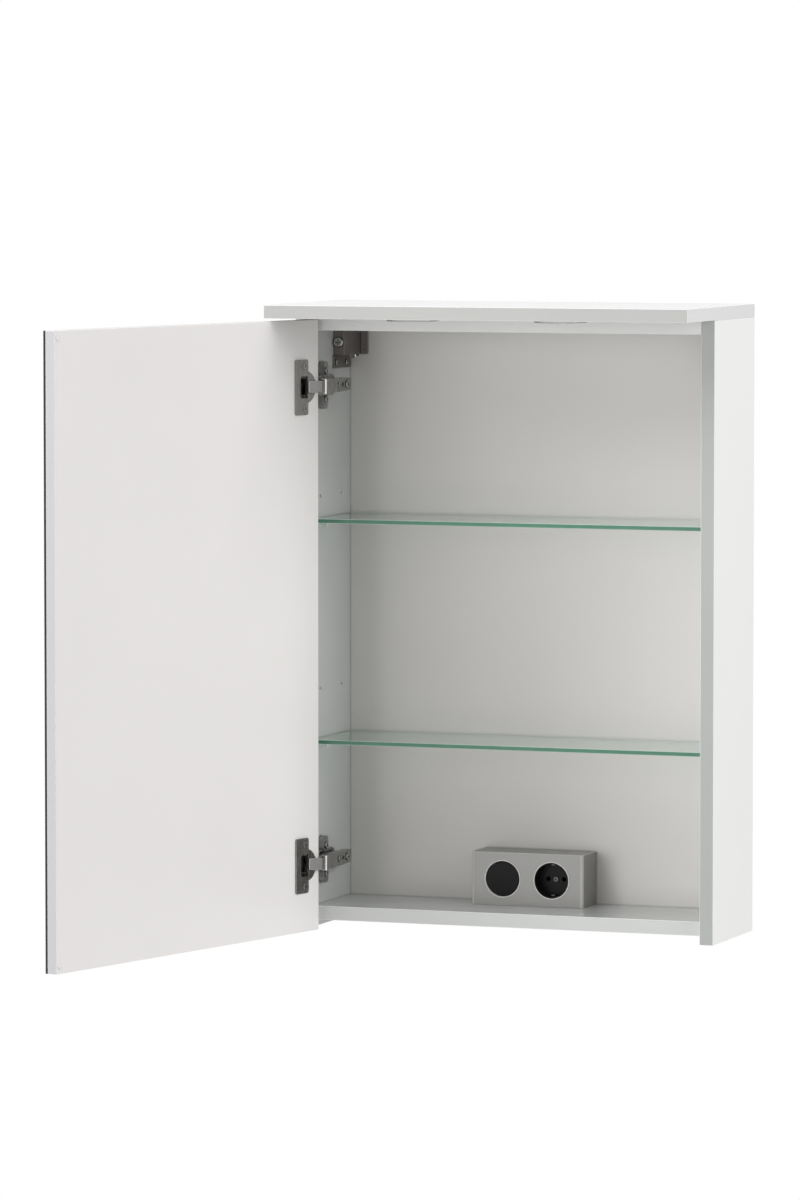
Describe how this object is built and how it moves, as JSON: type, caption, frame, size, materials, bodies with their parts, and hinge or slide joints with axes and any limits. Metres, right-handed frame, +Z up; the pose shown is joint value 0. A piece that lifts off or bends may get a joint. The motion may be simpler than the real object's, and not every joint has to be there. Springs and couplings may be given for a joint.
{
  "type": "mirror cabinet",
  "caption": "Wall-hung mirror cabinet with one hinged mirror door, glass shelves, a lit overhanging cornice and a switch and socket box.",
  "frame": {"origin": "middle of the four wall screw holes, on the wall plane", "axes": "+Z up, +Y into the wall, +X to the right seen from the room"},
  "size_m": [0.6041, 0.6395, 0.715],
  "materials": {
    "white_board": "white melamine-faced board, satin",
    "back_board": "white lacquered fibreboard, satin",
    "mirror": "silvered float glass, polished",
    "shelf_glass": "clear float glass with polished green edges",
    "nickel_steel": "nickel-plated pressed steel",
    "screw_steel": "bright zinc-plated steel",
    "zinc_steel": "dark zinc-plated pressed steel",
    "zinc_alloy": "zinc die casting",
    "beech": "fluted beech dowel",
    "clear_plastic": "clear moulded plastic",
    "light_metal": "satin chromed aluminium",
    "opal_plastic": "opal acrylic",
    "circuit_board": "white lacquered circuit board with diodes",
    "white_plastic": "white moulded plastic",
    "lead_sheath": "white PVC sheath",
    "box_plastic": "silver-grey painted plastic",
    "black_plastic": "black moulded plastic",
    "trim_plastic": "pale moulded plastic ring",
    "rubber": "soft black rubber",
    "brass": "turned brass"
  },
  "bodies": {
    "cabinet": {"side_panel_left": "white_board", "side_panel_right": "white_board", "top_panel": "white_board", "bottom_panel": "white_board", "back_panel": "back_board", "cornice": "white_board", "carcass_dowels": "beech", "cam_bolts": "screw_steel", "cam_locks": "zinc_alloy", "cornice_screws": "screw_steel", "shelf_upper": "shelf_glass", "shelf_lower": "shelf_glass", "shelf_pins": "nickel_steel", "hinge_plate_upper": "nickel_steel", "hinge_plate_lower": "nickel_steel", "hinge_plate_screws": "screw_steel", "hinge_arm_upper": "nickel_steel", "hinge_arm_lower": "nickel_steel", "hinge_arm_pins": "nickel_steel", "hinge_arm_screws": "screw_steel", "hanger_case_left": "zinc_steel", "hanger_case_right": "zinc_steel", "hanger_hook_left": "zinc_steel", "hanger_hook_right": "zinc_steel", "hanger_adjusters": "screw_steel", "hanger_screws": "screw_steel", "wall_plate_left": "zinc_steel", "wall_plate_right": "zinc_steel", "light_bodies": "light_metal", "light_lenses": "opal_plastic", "led_boards": "circuit_board", "light_clips": "screw_steel", "light_leads": "lead_sheath", "led_driver": "white_plastic", "mains_lead": "lead_sheath", "lead_clips": "white_plastic", "box_shell": "box_plastic", "box_base": "black_plastic", "base_screws": "screw_steel", "grommets": "rubber", "terminal_block": "white_plastic", "trim_rings": "trim_plastic", "switch_frame": "black_plastic", "switch_contacts": "black_plastic", "socket_insert": "black_plastic", "socket_contacts": "brass", "earth_clip": "screw_steel", "socket_screw": "screw_steel"},
    "hinge_links": {"hinge_link_upper": "nickel_steel", "hinge_link_lower": "nickel_steel"},
    "door": {"door_core": "white_board", "mirror_glass": "mirror", "door_bumpers": "clear_plastic", "hinge_cup_upper": "nickel_steel", "hinge_cup_lower": "nickel_steel", "hinge_cup_pins": "nickel_steel", "hinge_cup_springs": "screw_steel", "hinge_cup_screws": "screw_steel"},
    "rocker": {"switch_rocker": "black_plastic"}
  },
  "joints": [
    {"name": "link_swing", "type": "hinge", "parent": "cabinet", "child": "hinge_links", "pos_m": [-0.217, -0.14805, 0], "axis": [0, 0, 1], "range_deg": [-39.6, 0.8]},
    {"name": "door_swing", "type": "hinge", "parent": "hinge_links", "child": "door", "pos_m": [-0.22672, -0.16754, 0], "axis": [0, 0, -1], "range_deg": [-143.53, 2.76]},
    {"name": "switch_rock", "type": "hinge", "parent": "cabinet", "child": "rocker", "pos_m": [-0.0295, -0.059, -0.5744], "axis": [1, 0, 0], "range_deg": [-7.5, 0]}
  ],
  "couplings": [
    {"joint": "link_swing", "follows": "door_swing", "ratio": 0.27541}
  ]
}
